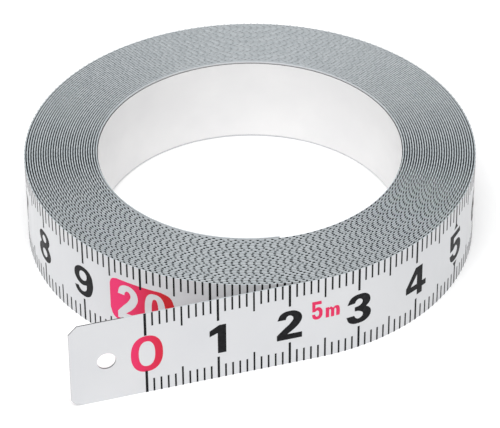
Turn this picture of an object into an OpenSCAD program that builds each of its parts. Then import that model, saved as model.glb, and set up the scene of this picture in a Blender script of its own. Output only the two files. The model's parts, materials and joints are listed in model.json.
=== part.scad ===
// Caseless measuring tape: a 5 m flat steel tape with adhesive backing and release liner, wound
// flat on itself into an open coil. It lies on its edge: the coil's axis is +Z, the tape's width
// runs up, and the origin is on the axis in the resting plane. The straight zero end leaves the
// coil at the front (-Y) and runs towards -X. Seen from above, the tape winds counter-clockwise
// and inwards from there.
// The outer lap is a chain of short links hinged along the tape's outer face, so it can unroll
// until it is straight. The zero end is a chain hinged along its inner face, so it can lie down
// on the coil. Every other lap is part of the coil.

/* [Tape] */
// Width of the tape
tape_w = 13.4; // [10:0.2:25]
// Thickness of the enamelled steel blade
blade_t = 0.17; // [0.12:0.01:0.18]
// Thickness of the adhesive film on the blade's back
adhesive_t = 0.04; // [0.03:0.01:0.05]
// Thickness of the release liner over the adhesive
liner_t = 0.08; // [0.05:0.01:0.08]
// How far the adhesive and the liner stay back from each edge of the tape
backing_inset = 0.3; // [0.1:0.1:1]

/* [Coil] */
// Radius of the outermost half turn, to the printed face
outer_r = 32; // [25:1:60]
// Distance from one lap's printed face to the next
pitch = 0.348; // [0.348:0.004:0.5]
// Number of laps, the hinged outer one included
laps = 30; // [5:1:50]
// How far short of the last full lap the inner end stops, in degrees
end_short = 6; // [1:1:90]

/* [Zero end] */
// Length of the straight end, from the point where it leaves the coil
tail_len = 34.6; // [30:0.2:60]
// Distance from the tape's end to the centre of the hanging hole
hole_from_end = 5; // [4:0.2:8]
// Diameter of the hanging hole
hole_d = 2.6; // [2:0.2:4]
// Cut of the top corner, along the tape and across it
corner_top = 1.2; // [0.5:0.1:3]
// Cut of the bottom corner along the tape
corner_bottom_x = 1.5; // [0.5:0.1:3]
// Cut of the bottom corner across the tape
corner_bottom_z = 1; // [0.5:0.1:3]

/* [Hinged links] */
// Length of each hinged link of the straight end, and twice the straight stub before them
tail_link = 9; // [7:0.5:10]
// Hairline gap between one link and the next
link_gap = 0.04; // [0.02:0.01:0.08]

/* [Hidden] */
$fn = 180;

lap_links = 20;                      // links in the hinged lap
tail_links = 3;                      // links in the straight end
link_turn = 360 / lap_links;         // arc of one link, in degrees
half_step = pitch / 2;               // how much smaller each half turn is than the one before
centre_shift = pitch / 4;            // how far each half turn's centre is from the axis
backing_t = adhesive_t + liner_t;
// the hairline gap as a turn about the axis, to a hundredth of a degree
gap_turn = round(link_gap / outer_r * 18000 / PI) / 100;
end_turn = 360 * laps - end_short;   // winding angle at the inner end, from the tangent point
steel = [0.87, 0.88, 0.89];
glue = [0.8, 0.8, 0.76];
paper = [0.93, 0.93, 0.93];

// Half turn k counts from the tangent point. Even ones run up the right side, odd ones down the left.
function centre_y(k) = k % 2 == 0 ? -centre_shift : centre_shift;
function half_r(k) = outer_r - half_step * k;

// A stretch of half turn k from winding angle a to b within it, with its outer face at depth d
// below the printed face, thickness t, and the given margin at both edges.
module arc(k, a, b, d, t, margin) {
    translate([0, centre_y(k), 0])
        rotate([0, 0, (k % 2 == 0 ? -90 : 90) + a])
            rotate_extrude(angle = b - a)
                translate([half_r(k) - d - t, margin])
                    square([t, tape_w - 2 * margin]);
}

// All the laps inside the hinged one, as one strip.
module coil_strip(d, t, margin) {
    for (k = [2 : 2 * laps - 1])
        arc(k, 0, min(180, end_turn - 180 * k), d, t, margin);
}

// Link n of the hinged lap, counted from the coil outwards, with the hairline gap at its coil end.
// The last one ends in the straight stub.
module lap_strip(n, d, t, margin) {
    first = 360 - link_turn * n;
    k = first >= 180 ? 1 : 0;
    a = first - 180 * k;
    arc(k, a, a + link_turn - gap_turn, d, t, margin);
    if (n == lap_links)
        straight_strip(0, tail_link / 2 - link_gap / 2, d, t, margin);
}

// A straight stretch of the zero end between two distances from the tangent point.
module straight_strip(from, to, d, t, margin) {
    translate([-to, -outer_r - centre_shift + d, margin])
        cube([to - from, t, tape_w - 2 * margin]);
}

// Link n of the straight end, counted from the coil. The last one has the trimmed corners and the hole.
module tail_strip(n, d, t, margin) {
    from = tail_link / 2 + tail_link * (n - 1) + link_gap / 2;
    if (n < tail_links) {
        straight_strip(from, from + tail_link - link_gap, d, t, margin);
    } else {
        translate([0, -outer_r - centre_shift + d + t, 0])
            rotate([90, 0, 0])
                linear_extrude(t)
                    zero_end_outline(from, margin);
    }
}

// The last link seen from its back, with its end at -tail_len: two cut corners and the hanging hole.
module zero_end_outline(from, margin) {
    difference() {
        intersection() {
            polygon([
                [-from, 0], [-from, tape_w], [-tail_len + corner_top, tape_w],
                [-tail_len, tape_w - corner_top], [-tail_len, corner_bottom_z],
                [-tail_len + corner_bottom_x, 0]
            ]);
            translate([-tail_len + margin, margin])
                square([tail_len - margin - from, tape_w - 2 * margin]);
        }
        translate([-tail_len + hole_from_end, tape_w / 2])
            circle(d = hole_d);
    }
}

module coil_blade() {
    color(steel) coil_strip(0, blade_t, 0);
}

module coil_adhesive() {
    color(glue) coil_strip(blade_t, adhesive_t, backing_inset);
}

module coil_liner() {
    color(paper) coil_strip(blade_t + adhesive_t, liner_t, backing_inset);
}

module lap_blade(n) {
    color(steel) lap_strip(n, 0, blade_t, 0);
}

module lap_backing(n) {
    color(paper) lap_strip(n, blade_t, backing_t, backing_inset);
}

module tail_blade(n) {
    color(steel) tail_strip(n, 0, blade_t, 0);
}

module tail_adhesive(n) {
    color(glue) tail_strip(n, blade_t, adhesive_t, backing_inset);
}

module tail_liner(n) {
    color(paper) tail_strip(n, blade_t + adhesive_t, liner_t, backing_inset);
}

coil_blade();
coil_adhesive();
coil_liner();
lap_blade(1);  // lap_blade_01
lap_blade(2);  // lap_blade_02
lap_blade(3);  // lap_blade_03
lap_blade(4);  // lap_blade_04
lap_blade(5);  // lap_blade_05
lap_blade(6);  // lap_blade_06
lap_blade(7);  // lap_blade_07
lap_blade(8);  // lap_blade_08
lap_blade(9);  // lap_blade_09
lap_blade(10);  // lap_blade_10
lap_blade(11);  // lap_blade_11
lap_blade(12);  // lap_blade_12
lap_blade(13);  // lap_blade_13
lap_blade(14);  // lap_blade_14
lap_blade(15);  // lap_blade_15
lap_blade(16);  // lap_blade_16
lap_blade(17);  // lap_blade_17
lap_blade(18);  // lap_blade_18
lap_blade(19);  // lap_blade_19
lap_blade(20);  // lap_blade_20
lap_backing(1);  // lap_backing_01
lap_backing(2);  // lap_backing_02
lap_backing(3);  // lap_backing_03
lap_backing(4);  // lap_backing_04
lap_backing(5);  // lap_backing_05
lap_backing(6);  // lap_backing_06
lap_backing(7);  // lap_backing_07
lap_backing(8);  // lap_backing_08
lap_backing(9);  // lap_backing_09
lap_backing(10);  // lap_backing_10
lap_backing(11);  // lap_backing_11
lap_backing(12);  // lap_backing_12
lap_backing(13);  // lap_backing_13
lap_backing(14);  // lap_backing_14
lap_backing(15);  // lap_backing_15
lap_backing(16);  // lap_backing_16
lap_backing(17);  // lap_backing_17
lap_backing(18);  // lap_backing_18
lap_backing(19);  // lap_backing_19
lap_backing(20);  // lap_backing_20
tail_blade(1);  // tail_blade_1
tail_blade(2);  // tail_blade_2
tail_blade(3);  // tail_blade_3
tail_adhesive(1);  // tail_adhesive_1
tail_adhesive(2);  // tail_adhesive_2
tail_adhesive(3);  // tail_adhesive_3
tail_liner(1);  // tail_liner_1
tail_liner(2);  // tail_liner_2
tail_liner(3);  // tail_liner_3
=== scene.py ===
# %% [markdown]
# # A coil of adhesive-backed measuring tape
# The object is one flat steel tape, five metres long, wound on itself and lying on its edge.
# The imported CAD model gives the sizes, the hinges and the places. Blender adds what the CAD
# leaves plain: a smooth tape made in short stretches across its hinges, the printed scale on every
# lap, and the finish of enamel, cut steel, adhesive, release paper and ink.

# %% Load the imported model
import json
import math

import bmesh
import bpy
import numpy as np
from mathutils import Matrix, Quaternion, Vector

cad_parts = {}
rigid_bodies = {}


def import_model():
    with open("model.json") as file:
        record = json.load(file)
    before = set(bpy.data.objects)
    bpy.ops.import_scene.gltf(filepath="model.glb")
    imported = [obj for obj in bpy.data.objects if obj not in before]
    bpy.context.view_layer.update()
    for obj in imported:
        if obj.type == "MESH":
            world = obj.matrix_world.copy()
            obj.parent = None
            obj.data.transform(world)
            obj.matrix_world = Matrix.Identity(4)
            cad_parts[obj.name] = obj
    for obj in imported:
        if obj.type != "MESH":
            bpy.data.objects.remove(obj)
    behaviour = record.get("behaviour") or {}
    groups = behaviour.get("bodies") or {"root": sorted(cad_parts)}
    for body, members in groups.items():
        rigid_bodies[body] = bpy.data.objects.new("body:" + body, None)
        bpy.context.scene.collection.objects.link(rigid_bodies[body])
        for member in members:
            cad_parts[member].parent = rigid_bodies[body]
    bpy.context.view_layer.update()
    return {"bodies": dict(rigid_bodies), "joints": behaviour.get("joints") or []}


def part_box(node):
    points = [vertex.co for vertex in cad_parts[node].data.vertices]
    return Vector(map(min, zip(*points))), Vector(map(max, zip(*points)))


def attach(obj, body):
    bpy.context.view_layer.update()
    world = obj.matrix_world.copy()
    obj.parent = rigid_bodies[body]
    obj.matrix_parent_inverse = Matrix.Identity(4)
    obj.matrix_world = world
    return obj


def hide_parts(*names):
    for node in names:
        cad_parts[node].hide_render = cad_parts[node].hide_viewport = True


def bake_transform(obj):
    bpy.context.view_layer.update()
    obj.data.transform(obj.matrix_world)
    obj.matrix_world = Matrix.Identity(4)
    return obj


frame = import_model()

MM = 0.001

# %% [markdown]
# ## The sizes that everything follows
# A wound tape is a spiral. Here each half turn is a true half circle, a little smaller than the
# one before, and the two sets of centres sit a quarter of a pitch either side of the axis, so
# the halves meet without a step. The straight end gives the layers' depths, and the first hinge
# stands one pitch inside the straight end's face, so nothing has to be fitted by hand.

# %% Read the sizes from the frame, in millimetres
joints = {j["name"]: Vector(j["pos_m"]) / MM for j in frame["joints"]}


def box_mm(node):
    low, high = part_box(node)
    return low / MM, high / MM


blade_low, blade_high = box_mm("tail_blade_2")
film_low = box_mm("tail_adhesive_2")[0]
paper_low, paper_high = box_mm("tail_liner_2")
FACE_Y = blade_low.y
TAPE_W = blade_high.z - blade_low.z
FILM_DEPTH = film_low.y - FACE_Y
PAPER_DEPTH = paper_low.y - FACE_Y
BACK_DEPTH = paper_high.y - FACE_Y
BACKING_INSET = film_low.z
TAIL_LEN = -box_mm("tail_blade_3")[0].x
PITCH = joints["unroll_01"].y - FACE_Y
OUTER_R = -FACE_Y - PITCH / 4
LAP_LINKS = sum(body.startswith("lap_") for body in frame["bodies"])
LINK_TURN = 360 / LAP_LINKS
LAPS = 30
END_SHORT = 6
END_TURN = 360 * LAPS - END_SHORT
print(f"width {TAPE_W:.2f}, pitch {PITCH:.3f}, outer radius {OUTER_R:.2f}, {LAP_LINKS} links")

# %% [markdown]
# ## A ruler's own coordinates
# Print belongs to the tape, not to the room, so every printed thing is placed by three numbers:
# the distance along the tape from the zero mark, the depth below the printed face, and the
# height across the tape. One function then lays any such point on the wound tape. Drawing flat
# and wrapping afterwards keeps the scale exact round every bend.

# %% Lay points of the tape in space
BLANK_END = 10.4
TANGENT_AT = TAIL_LEN - BLANK_END
half_turn_lengths = math.pi * (OUTER_R - PITCH / 2 * np.arange(2 * LAPS))
half_turn_starts = np.concatenate([[0.0], np.cumsum(half_turn_lengths)])


def distance_at(turn):
    """Distance along the tape, in mm, at a winding angle in degrees from the tangent point."""
    half = min(int(turn // 180), 2 * LAPS - 1)
    share = (turn - 180 * half) / 180
    return TANGENT_AT + half_turn_starts[half] + share * half_turn_lengths[half]


INNER_END_AT = distance_at(END_TURN)
LIFT_LENGTH, LIFT = 9.0, 0.05


def on_tape(along, depth, height):
    """Points in metres from arrays of distance along, depth and height, all in mm."""
    along, depth, height = np.broadcast_arrays(
        np.asarray(along, float), np.asarray(depth, float), np.asarray(height, float))
    past = along - TANGENT_AT
    half = np.clip(np.searchsorted(half_turn_starts, past, side="right") - 1, 0, 2 * LAPS - 1)
    radius = OUTER_R - PITCH / 2 * half
    turn = math.pi * half + (past - half_turn_starts[half]) / radius
    centre = np.where(half % 2 == 0, -PITCH / 4, PITCH / 4)
    lift = LIFT * np.clip((along - INNER_END_AT + LIFT_LENGTH) / LIFT_LENGTH, 0, 1) ** 2
    reach = radius - depth - lift
    straight = past < 0
    x = np.where(straight, past, reach * np.sin(turn))
    y = np.where(straight, FACE_Y + depth, centre - reach * np.cos(turn))
    return np.stack([x, y, height], axis=-1) * MM


print(f"the tape runs from {-BLANK_END} mm to {INNER_END_AT:.1f} mm of its scale")

# %% [markdown]
# ## Where the tape is cut into pieces
# The outer lap unrolls link by link and the straight end bends, so a single mesh can't follow.
# Each hinge gets its own short stretch of tape, from the middle of one link to the middle of the
# next. The stretches meet in the middle of a link, where the CAD tape is rigid.

# %% List the stretches
def hinge_chain():
    """(parent body, child body, joint name) from the coil out to the zero end."""
    return [(j["parent"], j["child"], j["name"]) for j in frame["joints"]]


def stretch_cuts():
    """Distances along the tape, in mm, of every cut, from the coil out to the free end."""
    cuts = [distance_at(360 + LINK_TURN / 2 - LINK_TURN * n) for n in range(LAP_LINKS + 1)]
    hinges = [TANGENT_AT + joints[f"tail_bend_{n}"].x for n in (1, 2, 3)]
    link = hinges[0] - hinges[1]
    return cuts + [at - link / 2 for at in hinges], link


CUTS, TAIL_LINK = stretch_cuts()
CHAIN = hinge_chain()
print(f"{len(CHAIN)} hinges, cuts from {CUTS[0]:.1f} to {CUTS[-1]:.1f} mm")


def follow_hinge(piece, index):
    """Bakes a piece's placement into its mesh; the ends of its stretch across hinge number index
    are worked out but not used.
    """
    parent, child, joint = CHAIN[index]
    if joint.startswith("tail_bend"):
        at = TANGENT_AT + joints[joint].x
        ends = on_tape([at + TAIL_LINK / 2, at - TAIL_LINK / 2], 0, TAPE_W / 2)
    else:
        ends = on_tape([CUTS[index], CUTS[index + 1]], 0, TAPE_W / 2)
    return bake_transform(piece)


# %% [markdown]
# ## Materials
# White enamel on a steel tape is satin, not glossy: it has a faint orange peel, fine rub marks
# from being pulled along, and a slightly uneven sheen. A noise drives the roughness, a second
# finer one drives a bump, and stretched noise across the width gives the rub marks. The colour
# moves only a little, because real enamel is even.

# %% Node helpers
def new_material(name, colour, roughness, **sockets):
    """A material with a Principled shader, its constant inputs set on its own sockets."""
    material = bpy.data.materials.new(name)
    material.use_nodes = True
    shader = material.node_tree.nodes["Principled BSDF"]
    shader.inputs["Base Color"].default_value = (*colour, 1)
    shader.inputs["Roughness"].default_value = roughness
    for socket, value in sockets.items():
        shader.inputs[socket.replace("_", " ")].default_value = value
    return material, shader


def noise(material, scale, detail=3.0, stretch=(1, 1, 1)):
    """A noise texture in object space. scale is in waves per metre."""
    nodes, links = material.node_tree.nodes, material.node_tree.links
    place = nodes.new("ShaderNodeTexCoord")
    mapping = nodes.new("ShaderNodeMapping")
    mapping.inputs["Scale"].default_value = stretch
    texture = nodes.new("ShaderNodeTexNoise")
    texture.inputs["Scale"].default_value = scale
    texture.inputs["Detail"].default_value = detail
    links.new(place.outputs["Object"], mapping.inputs["Vector"])
    links.new(mapping.outputs["Vector"], texture.inputs["Vector"])
    return texture.outputs["Fac"]


def ramp(material, source, low, high, stops):
    """A colour ramp of two stops between two values of the source."""
    node = material.node_tree.nodes.new("ShaderNodeValToRGB")
    first, last = node.color_ramp.elements
    first.position, last.position = low, high
    first.color, last.color = (*stops[0], 1), (*stops[1], 1)
    material.node_tree.links.new(source, node.inputs["Fac"])
    return node.outputs["Color"]


def spread(material, source, low, high):
    """Maps the middle of a noise to a range, for roughness."""
    node = material.node_tree.nodes.new("ShaderNodeMapRange")
    node.inputs["From Min"].default_value = 0.3
    node.inputs["From Max"].default_value = 0.7
    node.inputs["To Min"].default_value = low
    node.inputs["To Max"].default_value = high
    material.node_tree.links.new(source, node.inputs["Value"])
    return node.outputs["Result"]


def bump(material, shader, source, height, strength):
    """A bump of the given height in metres."""
    node = material.node_tree.nodes.new("ShaderNodeBump")
    node.inputs["Distance"].default_value = height
    node.inputs["Strength"].default_value = strength
    material.node_tree.links.new(source, node.inputs["Height"])
    material.node_tree.links.new(node.outputs["Normal"], shader.inputs["Normal"])


def wire(material, source, shader, socket):
    material.node_tree.links.new(source, shader.inputs[socket])


# %% White enamel
def enamel_material():
    material, shader = new_material(
        "white_enamel", (0.64, 0.65, 0.67), 0.38, Coat_Weight=0.15, Coat_Roughness=0.25)
    tone = noise(material, 90, 4)
    wire(material, ramp(material, tone, 0.3, 0.7,
                        [(0.63, 0.638, 0.66), (0.66, 0.667, 0.682)]), shader, "Base Color")
    rub = noise(material, 900, 5, (1, 1, 0.12))
    wire(material, spread(material, rub, 0.32, 0.46), shader, "Roughness")
    bump(material, shader, noise(material, 2600, 2), 0.000004, 0.5)
    return material


ENAMEL = enamel_material()
print("made", ENAMEL.name)

# %% [markdown]
# The long edges are slit from a wide sheet after coating, so they show a line of steel with
# a little enamel drawn over it: cooler and greyer than the face, streaked along the cut. The
# trimmed corners and the punched hole are bare steel, darker, because nothing covers them.

# %% Slit edge and cut steel
def slit_edge_material():
    material, shader = new_material("slit_edge", (0.50, 0.56, 0.59), 0.5, Metallic=0.0)
    streak = noise(material, 1400, 4, (1, 1, 0.3))
    wire(material, ramp(material, streak, 0.35, 0.65,
                        [(0.46, 0.515, 0.54), (0.58, 0.63, 0.655)]), shader, "Base Color")
    wire(material, spread(material, streak, 0.4, 0.6), shader, "Roughness")
    bump(material, shader, noise(material, 5000, 3), 0.000004, 0.6)
    return material


def cut_steel_material():
    material, shader = new_material("cut_steel", (0.16, 0.165, 0.17), 0.4, Metallic=0.9)
    shear = noise(material, 3000, 4, (1, 1, 6))
    wire(material, ramp(material, shear, 0.35, 0.65,
                        [(0.10, 0.10, 0.105), (0.24, 0.245, 0.25)]), shader, "Base Color")
    wire(material, spread(material, shear, 0.3, 0.55), shader, "Roughness")
    bump(material, shader, shear, 0.00001, 0.5)
    return material


SLIT_EDGE, CUT_STEEL = slit_edge_material(), cut_steel_material()
print("made", SLIT_EDGE.name, CUT_STEEL.name)

# %% [markdown]
# The adhesive is a clear acrylic film that looks grey between steel and paper. The release liner
# is a smooth coated paper: nearly as white as the enamel, a touch warmer, with the soft cloudy
# pattern of its fibres and a low sheen from the silicone. Their slit edges lie deep between the
# laps, and their near-black colour is painted shade: the dark of the narrow grooves between laps.

# %% Adhesive and release liner
def adhesive_material():
    material, shader = new_material("adhesive_film", (0.30, 0.32, 0.33), 0.3)
    cloud = noise(material, 700, 3)
    wire(material, ramp(material, cloud, 0.3, 0.7,
                        [(0.24, 0.26, 0.27), (0.36, 0.38, 0.385)]), shader, "Base Color")
    bump(material, shader, noise(material, 2500, 2), 0.00001, 0.4)
    return material


def liner_material():
    material, shader = new_material(
        "release_liner", (0.78, 0.78, 0.78), 0.45, Sheen_Weight=0.05)
    cloud = noise(material, 160, 6)
    wire(material, ramp(material, cloud, 0.3, 0.7,
                        [(0.755, 0.75, 0.755), (0.80, 0.795, 0.795)]), shader, "Base Color")
    wire(material, spread(material, noise(material, 600, 4), 0.38, 0.52), shader, "Roughness")
    bump(material, shader, noise(material, 1800, 5), 0.000006, 0.5)
    return material


def backing_edge_material():
    # Painted shade: near black with a faint mottle, standing for the shadow deep in the grooves
    # where the backing's slit edges lie.
    material, shader = new_material("backing_edge", (0.03, 0.036, 0.04), 0.7)
    shade_mottle = noise(material, 1200, 3)
    wire(material, ramp(material, shade_mottle, 0.3, 0.7,
                        [(0.02, 0.025, 0.028), (0.04, 0.048, 0.052)]), shader, "Base Color")
    return material


ADHESIVE, LINER = adhesive_material(), liner_material()
BACKING_EDGE_SHADE = backing_edge_material()
print("made", ADHESIVE.name, LINER.name, BACKING_EDGE_SHADE.name)

# %% [markdown]
# The scale is printed in two inks. Black is a dense ink that dries a little uneven, so a noise
# moves its colour. Red is a split-fountain ink: it runs from a cool pink on the left of a figure
# to a warm red on its right. The red also gets darker to the right, and that darkening is painted
# shade, the shade of the wedge between the straight end and the coil. Each red corner therefore
# carries a number called tone, from 0 to 1 across the figure, and a colour ramp reads it.

# %% Inks
def ink_material(name, colour):
    material, shader = new_material(name, colour, 0.5, Specular_IOR_Level=0.08)
    wire(material, spread(material, noise(material, 1500, 3), 0.36, 0.5), shader, "Roughness")
    bump(material, shader, noise(material, 4000, 3), 0.000003, 0.5)
    return material, shader


def black_ink_material():
    material, shader = ink_material("black_ink", (0.01, 0.01, 0.012))
    wire(material, ramp(material, noise(material, 2200, 4), 0.35, 0.65,
                        [(0.007, 0.007, 0.008), (0.014, 0.014, 0.016)]), shader, "Base Color")
    return material


def red_ink_material():
    material, shader = ink_material("red_ink", (0.74, 0.03, 0.1))
    tone = material.node_tree.nodes.new("ShaderNodeAttribute")
    tone.attribute_name = "tone"
    # The right stop is darker as well as warmer: the pink-to-red shift is the ink's, and the
    # darkening is painted shade.
    wire(material, ramp(material, tone.outputs["Fac"], 0.2, 0.85,
                        [(0.80, 0.04, 0.16), (0.58, 0.022, 0.03)]), shader, "Base Color")
    return material


BLACK_INK, RED_INK = black_ink_material(), red_ink_material()
print("made", BLACK_INK.name, RED_INK.name)

# %% [markdown]
# ## The strip
# Blade, film and liner are all the same kind of thing: a thin band with a long way to go. A band
# is made by carrying its cross-section from ring to ring along the tape. A curve with a bevel
# object could do that too, but a spiral of 30 laps is exact and light when its points come
# straight from the tape's own coordinates.

# %% Build a band along the tape
EDGE_BREAK, BACKING_BREAK = 0.03, 0.01
INK_T, INK_OVER_EDGE = 0.01, 0.045
COIL_STEP, LAP_STEP = 3.0, 1.5


def band_section(top, bottom, margin, chamfer):
    """The cross-section as (depth, height) points, anticlockwise, with its corners broken."""
    low, high = margin, TAPE_W - margin
    return [(top + chamfer, low), (bottom - chamfer, low), (bottom, low + chamfer),
            (bottom, high - chamfer), (bottom - chamfer, high), (top + chamfer, high),
            (top, high - chamfer), (top, low + chamfer)]


def make_object(name, mesh, materials):
    piece = bpy.data.objects.new(name, mesh)
    bpy.context.scene.collection.objects.link(piece)
    for material in materials:
        mesh.materials.append(material)
    return piece


def smooth_shading(mesh):
    """Smooth faces that meet at a sharp corner only where the shape turns by over 30 degrees."""
    mesh.shade_smooth()
    mesh.set_sharp_from_angle(angle=math.radians(30))


def band(name, stops, section, materials):
    """A closed band through the given distances along the tape, with the second material on its
    long edges."""
    sides = len(section)
    depth, height = (np.array(column) for column in zip(*section))
    points = on_tape(np.repeat(stops, sides), np.tile(depth, len(stops)),
                     np.tile(height, len(stops)))
    faces = [tuple(range(sides))[::-1],
             tuple(range((len(stops) - 1) * sides, len(stops) * sides))]
    for ring in range(len(stops) - 1):
        for side in range(sides):
            here, over = ring * sides + side, ring * sides + (side + 1) % sides
            faces.append((here, over, over + sides, here + sides))
    mesh = bpy.data.meshes.new(name)
    mesh.from_pydata(points.tolist(), [], faces)
    on_edge = [int(depth[side] != depth[(side + 1) % sides]) for side in range(sides)]
    mesh.polygons.foreach_set("material_index", [0, 0] + on_edge * (len(stops) - 1))
    fix_normals(mesh)
    smooth_shading(mesh)
    return make_object(name, mesh, materials)


def fix_normals(mesh):
    shape = bmesh.new()
    shape.from_mesh(mesh)
    bmesh.ops.recalc_face_normals(shape, faces=shape.faces)
    shape.to_mesh(mesh)
    shape.free()


def stops_between(start, end, step):
    """Distances along the tape from start to end, a step of so many degrees apart."""
    count = max(2, round(abs(end - start) / (math.radians(step) * OUTER_R)) + 1)
    return np.linspace(start, end, count)


LAYERS = {
    "blade": (band_section(INK_T, FILM_DEPTH, INK_T, EDGE_BREAK), (ENAMEL, SLIT_EDGE)),
    "adhesive": (band_section(FILM_DEPTH, PAPER_DEPTH, BACKING_INSET, BACKING_BREAK),
                 (ADHESIVE, BACKING_EDGE_SHADE)),
    "liner": (band_section(PAPER_DEPTH, BACK_DEPTH, BACKING_INSET, BACKING_BREAK),
              (LINER, BACKING_EDGE_SHADE)),
}

# %% [markdown]
# The coil is 29 laps that stay wound, so each layer is one long spiral. It starts half a link
# further in than the first hinge and runs to the inner end, where the springy tape stands off
# the lap behind it a little.

# %% The coil
def coil_layer(layer):
    section, materials = LAYERS[layer]
    piece = band(f"coil_{layer}_wound", stops_between(CUTS[0], INNER_END_AT, COIL_STEP),
                 section, materials)
    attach(piece, "coil")
    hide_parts(f"coil_{layer}")
    return piece


for layer in LAYERS:
    made = coil_layer(layer)
    print(made.name, len(made.data.polygons), "faces")

# %% [markdown]
# The hinged lap and the straight end are the same band in short stretches, one for each hinge.
# Each stands for the rigid CAD links on both sides of its hinge.

# %% The hinged lap and the straight end
def cad_node(layer, body):
    """The CAD node that holds this layer on a body. The lap's backing is one solid in CAD."""
    if body == "coil":
        return f"coil_{layer}"
    if body.startswith("tail_"):
        return body.replace("tail_", f"tail_{layer}_")
    return body.replace("lap_", "lap_blade_" if layer == "blade" else "lap_backing_")


def hinge_stretch(layer, index):
    parent, child, _ = CHAIN[index]
    section, materials = LAYERS[layer]
    name = f"{child.rsplit('_', 1)[0]}_{layer}_stretch_{index + 1:02d}"
    piece = band(name, stops_between(CUTS[index], CUTS[index + 1], LAP_STEP),
                 section, materials)
    follow_hinge(piece, index)
    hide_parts(cad_node(layer, parent), cad_node(layer, child))
    return piece


for layer in LAYERS:
    made = [hinge_stretch(layer, index) for index in range(len(CHAIN))]
    print(layer, len(made), "stretches")

# %% [markdown]
# ## The zero end
# The last stretch is stamped: a sharp cut at the top corner, a softer one at the bottom, and
# a round hole to hang it by. A filled 2-D curve with a hole and a little depth is the direct way
# to make a stamped sheet, and the faces on its rim then take the bare steel.

# %% Fill flat outlines
def round_loop(x, z, half_width, half_height, power=2.0, count=48):
    """A superellipse as a loop of points: power 2 is an ellipse, and more is squarer."""
    loop = []
    for step in range(count):
        c, s = math.cos(2 * math.pi * step / count), math.sin(2 * math.pi * step / count)
        loop.append((x + half_width * math.copysign(abs(c) ** (2 / power), c),
                     z + half_height * math.copysign(abs(s) ** (2 / power), s)))
    return loop


def fill_loops(loops, steps=5):
    """A flat mesh bounded by loops of (x, z) corners and (x, z, 1) smooth points."""
    curve = bpy.data.curves.new("outline", "CURVE")
    curve.dimensions, curve.fill_mode, curve.resolution_u = "2D", "BOTH", steps
    for loop in loops:
        spline = curve.splines.new("BEZIER")
        spline.bezier_points.add(len(loop) - 1)
        spline.use_cyclic_u = True
        for knot, point in zip(spline.bezier_points, loop):
            knot.co = (point[0], point[1], 0)
            kind = "AUTO" if len(point) == 3 else "VECTOR"
            knot.handle_left_type = knot.handle_right_type = kind
    holder = bpy.data.objects.new("outline", curve)
    bpy.context.scene.collection.objects.link(holder)
    bpy.context.view_layer.update()
    mesh = bpy.data.meshes.new_from_object(
        holder.evaluated_get(bpy.context.evaluated_depsgraph_get()))
    bpy.data.objects.remove(holder)
    bpy.data.curves.remove(curve)
    return mesh


def cut_across(shape, places):
    """Cuts a flat bmesh across the tape at each distance along it."""
    for at in places:
        everything = shape.verts[:] + shape.edges[:] + shape.faces[:]
        bmesh.ops.bisect_plane(shape, geom=everything, dist=1e-5, plane_co=(at, 0, 0),
                               plane_no=(1, 0, 0))


def thicken_and_wrap(shape, top, bottom):
    """Turns a flat bmesh in (distance, height) into a closed slab between two depths."""
    bmesh.ops.recalc_face_normals(shape, faces=shape.faces)
    under = bmesh.ops.extrude_face_region(shape, geom=shape.faces[:], use_keep_orig=True)
    sunk = {v for v in under["geom"] if isinstance(v, bmesh.types.BMVert)}
    shape.verts.ensure_lookup_table()
    flat = np.array([v.co[:] for v in shape.verts])
    depth = np.array([bottom if v in sunk else top for v in shape.verts])
    for vertex, place in zip(shape.verts, on_tape(flat[:, 0], depth, flat[:, 1])):
        vertex.co = place
    bmesh.ops.recalc_face_normals(shape, faces=shape.faces)


# %% The stamped end
END_HOLE_AT, HOLE_R = 5.0, 1.3
CORNER_TOP, CORNER_LOW_X, CORNER_LOW_Z = 1.2, 1.5, 1.0


def end_outline(margin):
    """The last stretch's outline and its hole, in mm along and across the tape."""
    tip, inner = -BLANK_END + margin, CUTS[-1]
    low, high = margin, TAPE_W - margin
    return [[(inner, low), (inner, high), (tip + CORNER_TOP, high), (tip, high - CORNER_TOP),
             (tip, low + CORNER_LOW_Z), (tip + 0.33 * CORNER_LOW_X, low + 0.4 * CORNER_LOW_Z, 1),
             (tip + CORNER_LOW_X, low)],
            round_loop(-BLANK_END + END_HOLE_AT, TAPE_W / 2, HOLE_R, HOLE_R)]


def stamped_end(layer, top, bottom, margin, materials):
    shape = bmesh.new()
    flat = fill_loops(end_outline(margin))
    shape.from_mesh(flat)
    bpy.data.meshes.remove(flat)
    thicken_and_wrap(shape, top, bottom)
    if len(materials) > 1:
        for face in shape.faces:
            face.material_index = int(abs(face.normal.y) < 0.5)
    mesh = bpy.data.meshes.new(f"tail_{layer}_end")
    shape.to_mesh(mesh)
    shape.free()
    smooth_shading(mesh)
    piece = make_object(f"tail_{layer}_end", mesh, materials)
    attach(piece, CHAIN[-1][1])
    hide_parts(cad_node(layer, CHAIN[-1][1]))
    return piece


stamped_end("blade", INK_T, FILM_DEPTH, INK_T, (ENAMEL, CUT_STEEL))
stamped_end("adhesive", FILM_DEPTH, PAPER_DEPTH, BACKING_INSET, (ADHESIVE,))
stamped_end("liner", PAPER_DEPTH, BACK_DEPTH, BACKING_INSET, (LINER,))
print("stamped end, hole", 2 * HOLE_R, "mm")

# %% [markdown]
# ## The printed scale
# The numerals are a heavy grotesque, drawn as outlines about their own centre in millimetres:
# corners where strokes end, smooth points where they turn. A built-in font would be quicker, but
# its weight and its 1 with a foot are wrong for a tape. Six is nine turned over, and eight
# mirrors one side.

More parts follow.
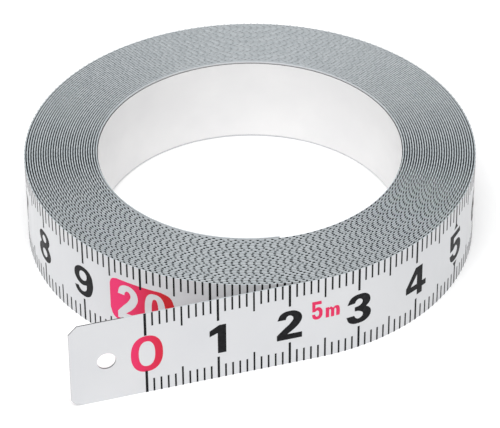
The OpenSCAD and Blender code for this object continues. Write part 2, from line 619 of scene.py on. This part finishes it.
# %% Numeral outlines
EIGHT_SIDE = [(1.25, 2.1, 1), (1.65, 1.25, 1), (1.1, 0.2), (1.65, -0.3, 1), (1.9, -1.15, 1),
              (1.35, -2.1, 1)]
NINE = [[(0, 2.46, 1), (1.3, 1.95, 1), (1.84, 0.5, 1), (1.65, -1.1, 1), (1.05, -2.1, 1),
         (-0.2, -2.46, 1), (-1.4, -2.1, 1), (-1.9, -1.3), (-1.1, -1.12), (-0.8, -1.55, 1),
         (-0.2, -1.72, 1), (0.45, -1.3, 1), (0.6, -0.4), (-0.4, -0.66, 1), (-1.5, -0.1, 1),
         (-1.9, 0.9, 1), (-1.4, 2.0, 1)], round_loop(-0.1, 0.96, 0.75, 0.78, 2.2, 24)]
NUMERALS = {
    "0": [round_loop(0, 0, 1.55, 2.4, 2.6), round_loop(0, 0, 0.5, 1.7, 2.6, 32)],
    "1": [[(-1.2, 0.6), (-1.2, 1.55), (0.15, 2.35), (1.1, 2.35), (1.1, -2.35), (-0.08, -2.35),
           (-0.08, 1.05)]],
    "2": [[(-1.83, -2.38), (1.72, -2.38), (1.72, -1.47), (-0.37, -1.47), (0.67, -0.7, 1),
           (1.42, 0.13, 1), (1.72, 1.13, 1), (1.17, 2.05, 1), (-0.05, 2.38, 1), (-1.25, 2.0, 1),
           (-1.75, 0.97), (-0.58, 0.97), (-0.42, 1.4, 1), (0, 1.6, 1), (0.48, 1.1, 1),
           (0.15, 0.4, 1), (-0.85, -0.55, 1), (-1.83, -1.5)]],
    "3": [[(-1.78, 1.02), (-0.62, 1.1), (-0.42, 1.5, 1), (0.05, 1.68, 1), (0.55, 1.18, 1),
           (0.2, 0.6, 1), (-0.65, 0.42), (-0.65, -0.25), (0.05, -0.4, 1), (0.62, -1.02, 1),
           (0.05, -1.62, 1), (-0.5, -1.4, 1), (-0.72, -0.97), (-1.9, -0.97), (-1.45, -1.98, 1),
           (0, -2.42, 1), (1.45, -2, 1), (1.9, -1.03, 1), (1.6, -0.3, 1), (1.1, 0.1),
           (1.6, 0.55, 1), (1.77, 1.2, 1), (1.3, 2.1, 1), (0.05, 2.45, 1), (-1.2, 2.1, 1)]],
    "4": [[(-0.17, 2.35), (1.22, 2.35), (1.22, -0.5), (2.02, -0.5), (2.02, -1.4), (1.22, -1.4),
           (1.22, -2.35), (0.15, -2.35), (0.15, -1.4), (-2, -1.4), (-2, -0.4)],
          [(0.12, 1.15), (0.12, -0.5), (-1.12, -0.5)]],
    "5": [[(-1.75, 2.4), (1.42, 2.4), (1.55, 1.55), (-0.62, 1.55), (-0.67, 0.6), (0.4, 0.82, 1),
           (1.5, 0.3, 1), (1.85, -0.8, 1), (1.4, -1.95, 1), (0, -2.42, 1), (-1.35, -2.05, 1),
           (-1.8, -1), (-0.72, -0.97), (-0.55, -1.4, 1), (0, -1.63, 1), (0.65, -0.8, 1),
           (0.05, -0.02, 1), (-0.68, -0.32), (-1.7, -0.32)]],
    "6": [[(-p[0], -p[1], *p[2:]) for p in loop] for loop in NINE],
    "7": [[(-1.75, 2.35), (1.8, 2.35), (1.8, 1.5), (0.75, -0.1, 1), (0.25, -2.35),
           (-1, -2.35), (-0.5, -0.3, 1), (0.5, 1.4), (-1.75, 1.4)]],
    "8": [[(0, 2.45, 1), *EIGHT_SIDE, (0, -2.45, 1),
           *[(-p[0], p[1], *p[2:]) for p in reversed(EIGHT_SIDE)]],
          round_loop(0, 1.2, 0.62, 0.6, 2, 24), round_loop(0, -1.12, 0.75, 0.68, 2, 24)],
    "9": NINE,
    "m": [[(-1, -0.9), (-1, 0.9), (-0.5, 0.9), (-0.5, 0.7), (-0.25, 0.92, 1), (0.08, 0.68, 1),
           (0.38, 0.92, 1), (0.86, 0.8, 1), (1.02, 0.35, 1), (1.02, -0.9), (0.52, -0.9),
           (0.52, 0.25), (0.38, 0.5, 1), (0.24, 0.25), (0.24, -0.9), (-0.24, -0.9),
           (-0.24, 0.25), (-0.38, 0.5, 1), (-0.5, 0.25), (-0.5, -0.9)]],
}


def placed(loops, at, height, wide=1.0, tall=1.0):
    """A numeral's loops moved to a place on the tape and scaled."""
    return [[(at + p[0] * wide, height + p[1] * tall, *p[2:]) for p in loop] for loop in loops]


print(len(NUMERALS), "outlines")

# %% [markdown]
# Every centimetre carries its last figure only. Each tenth is a red block with its number left
# white, so the number's outlines are holes in the block. At every fifth centimetre the long
# marks end in small wedges that point away from the figure. The zero is a wide open ring.

# %% What is printed where
MID = TAPE_W / 2
BLOCK_LOW, BLOCK_HIGH = 3.05, 10.3
PRINTED_TO = 46
WEDGE_HALF, WEDGE_BASE, WEDGE_TALL = 0.62, 2.92, 0.95
LENGTH_FIGURE = (22.5, 27.5)


def block_outline(at):
    """The red block of a decade: one small corner, the others large."""
    left, right, low, high = at - 5, at + 5, BLOCK_LOW, BLOCK_HIGH
    small, large = 1.2, 1.9
    near, far = 0.3 * small, 0.3 * large
    return [(left, low + large), (left, high - small), (left + near, high - near, 1),
            (left + small, high), (right - large, high), (right - far, high - far, 1),
            (right, high - large), (right, low + large), (right - far, low + far, 1),
            (right - large, low), (left + large, low), (left + far, low + far, 1)]


def decade_loops(number):
    at, middle = 10.0 * number, (BLOCK_LOW + BLOCK_HIGH) / 2
    tens, ones = str(number)
    return ([block_outline(at)] + placed(NUMERALS[tens], at - 2.05, middle, 0.93, 1.26)
            + placed(NUMERALS[ones], at + 2.15, middle, 1.0, 1.26))


def wedges(at):
    """The two wedges that point from a figure's top and bottom to the tape's edges."""
    return [[(at - WEDGE_HALF, MID + side * WEDGE_BASE), (at + WEDGE_HALF, MID + side * WEDGE_BASE),
             (at, MID + side * (WEDGE_BASE + WEDGE_TALL))] for side in (1, -1)]


def label_loops(colour):
    """Groups of loops to fill in one colour, for the part of the scale that can be seen."""
    groups = []
    for number in range(1, PRINTED_TO):
        decade = number % 10 == 0
        if decade and colour == "red":
            groups.append(decade_loops(number))
        if not decade and colour == "black":
            groups.append(placed(NUMERALS[str(number)[-1]], 10.0 * number, MID - 0.06, 1.0, 1.02))
        if number % 10 == 5 and colour == "black":
            groups.extend([loop] for loop in wedges(10.0 * number))
    if colour == "red":
        groups.append([round_loop(0.14, MID - 0.1, 2.21, 3.03, 2.3),
                       round_loop(0.14, MID - 0.1, 1.13, 2.1, 2.3)])
        groups.append(placed(NUMERALS["5"], 23.85, 8.2, 0.41, 0.64))
        groups.append(placed(NUMERALS["m"], 26.05, 7.5, 1.0, 0.95))
    return groups


print(len(label_loops("black")), "black labels,", len(label_loops("red")), "red labels")

# %% [markdown]
# The marks run in from both edges: short ones each millimetre, longer at five, longest and
# thicker at ten. They go on to five metres, on laps that nobody can read, because their ends
# show between the laps as the fine dotted pattern on top of the coil. So that the ends read as
# dots, the ink laps a hair down the tape's edge and these marks are drawn a fifth wider.

# %% Marks
MARK_W, LONG_MARK_W, ZERO_MARK_W = 0.25, 0.33, 0.36
MM_MARK, FIVE_MARK, TEN_MARK = 2.2, 3.2, 3.62
SCALE_END = 5000
INNER_MARK_SPREAD = 1.2


def mark_size(at):
    """(width, length) of the mark at a whole number of millimetres."""
    if at == 0:
        return ZERO_MARK_W, 3.7
    if at % 10 == 0:
        return LONG_MARK_W, TEN_MARK
    return MARK_W, FIVE_MARK if at % 5 == 0 else MM_MARK


def mark_corners(at, widen=1.0):
    """The corners of a millimetre's two marks, in mm along and across the tape."""
    width, length = mark_size(at)
    width *= widen
    left, right = at - width / 2, at + width / 2
    low = [(left, 0), (right, 0), (right, length), (left, length)]
    return low + [(left, TAPE_W - length), (right, TAPE_W - length), (right, TAPE_W),
                  (left, TAPE_W)]


def coil_marks():
    """All the marks of the wound laps as thin slabs, in one mesh."""
    first = math.ceil(CUTS[0] + ZERO_MARK_W)
    corners = np.array([mark_corners(at, INNER_MARK_SPREAD)
                        for at in range(first, SCALE_END + 1)])
    flat = corners.reshape(-1, 4, 2)
    top = on_tape(flat[..., 0], 0.0, flat[..., 1])
    bottom = on_tape(flat[..., 0], INK_OVER_EDGE, flat[..., 1])
    points = np.concatenate([top, bottom], axis=1).reshape(-1, 3)
    slab = np.array([(0, 1, 2, 3), (7, 6, 5, 4), (0, 4, 5, 1), (1, 5, 6, 2), (2, 6, 7, 3),
                     (3, 7, 4, 0)])
    faces = (slab[None] + 8 * np.arange(len(flat))[:, None, None]).reshape(-1, 4)
    mesh = bpy.data.meshes.new("coil_marks")
    mesh.from_pydata(points.tolist(), [], faces.tolist())
    return mesh


marks = coil_marks()
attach(make_object("coil_marks_black", marks, (BLACK_INK,)), "coil")
print("coil marks", len(marks.polygons), "faces")

# %% [markdown]
# The figures, and the marks of the parts that bend, are drawn flat, cut wherever the tape is
# cut and once a millimetre where a figure is wide, then given the thickness of ink and wrapped.
# Cutting first is what lets a figure cross from one stretch to the next.

# %% Draw the scale flat
def flat_marks(shape, first, last):
    for at in range(first, last + 1):
        corners = mark_corners(at)
        for quad in (corners[:4], corners[4:]):
            shape.faces.new([shape.verts.new((s, z, 0)) for s, z in quad])


def flat_labels(shape, groups):
    for loops in groups:
        label = bmesh.new()
        filled = fill_loops(loops)
        label.from_mesh(filled)
        bmesh.ops.dissolve_limit(label, angle_limit=0.001, verts=label.verts, edges=label.edges)
        bmesh.ops.triangulate(label, faces=label.faces)
        reach = [v.co.x for v in label.verts]
        cut_across(label, np.arange(math.floor(min(reach)) + 0.5, max(reach), 1.0))
        label.to_mesh(filled)
        shape.from_mesh(filled)
        bpy.data.meshes.remove(filled)
        label.free()


def flat_scale(colour):
    shape = bmesh.new()
    if colour == "black":
        flat_marks(shape, 0, math.floor(CUTS[0] + ZERO_MARK_W))
    flat_labels(shape, label_loops(colour))
    cut_across(shape, CUTS)
    return shape


def red_tone(along):
    """0 to 1 across the centimetre's figure, and even on the length figure."""
    if LENGTH_FIGURE[0] < along < LENGTH_FIGURE[1]:
        return 0.4
    return 0.5 + along / 10 - round(along / 10)


def ink_between(flat, low, high, name):
    """A slab mesh of the flat print between two distances along the tape, or None."""
    part = flat.copy()
    tone = part.verts.layers.float.new("tone")
    for vertex in part.verts:
        vertex[tone] = red_tone(vertex.co.x)
    outside = [f for f in part.faces if not low < f.calc_center_median().x < high]
    bmesh.ops.delete(part, geom=outside, context="FACES")
    if not part.faces:
        part.free()
        return None
    thicken_and_wrap(part, 0.0, INK_OVER_EDGE)
    mesh = bpy.data.meshes.new(name)
    part.to_mesh(mesh)
    part.free()
    return mesh


# %% Wrap it round the tape
INKS = {"black": BLACK_INK, "red": RED_INK}
PLACES = [("coil", CUTS[0], 10.0 * PRINTED_TO),
          *((n, CUTS[n + 1], CUTS[n]) for n in range(len(CHAIN))),
          ("end", -BLANK_END, CUTS[-1])]


def print_name(place, colour):
    if place == "coil":
        return f"coil_print_{colour}"
    if place == "end":
        return f"tail_print_{colour}_end"
    return f"print_{colour}_stretch_{place + 1:02d}"


def print_scale(colour):
    """Wraps one colour's print, and fixes its parts on the coil and on the zero end to their
    bodies.
    """
    flat, made = flat_scale(colour), 0
    for place, low, high in PLACES:
        mesh = ink_between(flat, low, high, print_name(place, colour))
        if mesh is None:
            continue
        piece = make_object(mesh.name, mesh, (INKS[colour],))
        made += 1
        if place == "coil":
            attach(piece, "coil")
        elif place == "end":
            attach(piece, CHAIN[-1][1])
        else:
            follow_hinge(piece, place)
    flat.free()
    return made


for colour in INKS:
    print(colour, "print in", print_scale(colour), "pieces")

# %% [markdown]
# ## The stage
# A white sheet under soft light, as in a catalogue. One broad lamp overhead and in front gives
# the enamel its even white, a weaker one from the left opens the wall of the coil, and the
# world fills the shadows. The sheet gives off a little light itself, so it stays white in shade.

# %% Floor and light
def pale_floor():
    mesh = bpy.data.meshes.new("floor")
    half = 1.5
    mesh.from_pydata([(-half, -half, 0), (half, -half, 0), (half, half, 0), (-half, half, 0)],
                     [], [(0, 1, 2, 3)])
    material, shader = new_material("pale_floor", (0.95, 0.95, 0.95), 0.9)
    shader.inputs["Emission Color"].default_value = (1, 1, 1, 1)
    shader.inputs["Emission Strength"].default_value = 0.13
    floor = make_object("floor", mesh, (material,))
    return floor


def soft_lamp(name, place, size, watts):
    light = bpy.data.lights.new(name, "AREA")
    light.shape, light.size, light.energy = "SQUARE", size, watts
    lamp = bpy.data.objects.new(name, light)
    lamp.location = place
    lamp.rotation_mode = "QUATERNION"
    lamp.rotation_quaternion = (-Vector(place)).to_track_quat("-Z", "Y")
    bpy.context.scene.collection.objects.link(lamp)
    return lamp


def pale_world(strength):
    world = bpy.data.worlds.new("pale_world")
    world.use_nodes = True
    sky = world.node_tree.nodes["Background"]
    sky.inputs["Color"].default_value = (1, 1, 1, 1)
    sky.inputs["Strength"].default_value = strength
    bpy.context.scene.world = world


pale_floor()
pale_world(0.55)
soft_lamp("overhead", (-0.15, -0.35, 0.9), 0.8, 6.4)
soft_lamp("left_fill", (-0.9, -0.5, 0.5), 0.6, 1.3)
bpy.context.scene.view_settings.view_transform = "Standard"

# %% [markdown]
# ## The camera
# A long lens from a little left of the front, looking down at about 37 degrees, so the rings
# stay nearly round and the laps on top can be counted.

# %% Camera
AZIMUTH, ELEVATION, ROLL = -16.8, 36.74, -0.47
DISTANCE, LENS = 410.0, 203.57
AIM_RIGHT, AIM_AWAY = 0.03, 1.9


def camera():
    a, e = math.radians(AZIMUTH), math.radians(ELEVATION)
    back = Vector((math.sin(a) * math.cos(e), -math.cos(a) * math.cos(e), math.sin(e)))
    right, away = Vector((math.cos(a), math.sin(a), 0)), Vector((-math.sin(a), math.cos(a), 0))
    data = bpy.data.cameras.new("camera")
    data.lens, data.sensor_width = LENS, 36
    data.clip_start, data.clip_end = 0.01, 20
    eye = bpy.data.objects.new("camera", data)
    eye.location = (right * AIM_RIGHT + away * AIM_AWAY + back * DISTANCE) * MM
    eye.rotation_mode = "QUATERNION"
    level = (-back).to_track_quat("-Z", "Y")
    eye.rotation_quaternion = level @ Quaternion((0, 0, 1), math.radians(ROLL))
    bpy.context.scene.collection.objects.link(eye)
    bpy.context.scene.camera = eye
    return eye


print("camera at, mm:", [round(c / MM, 1) for c in camera().location])
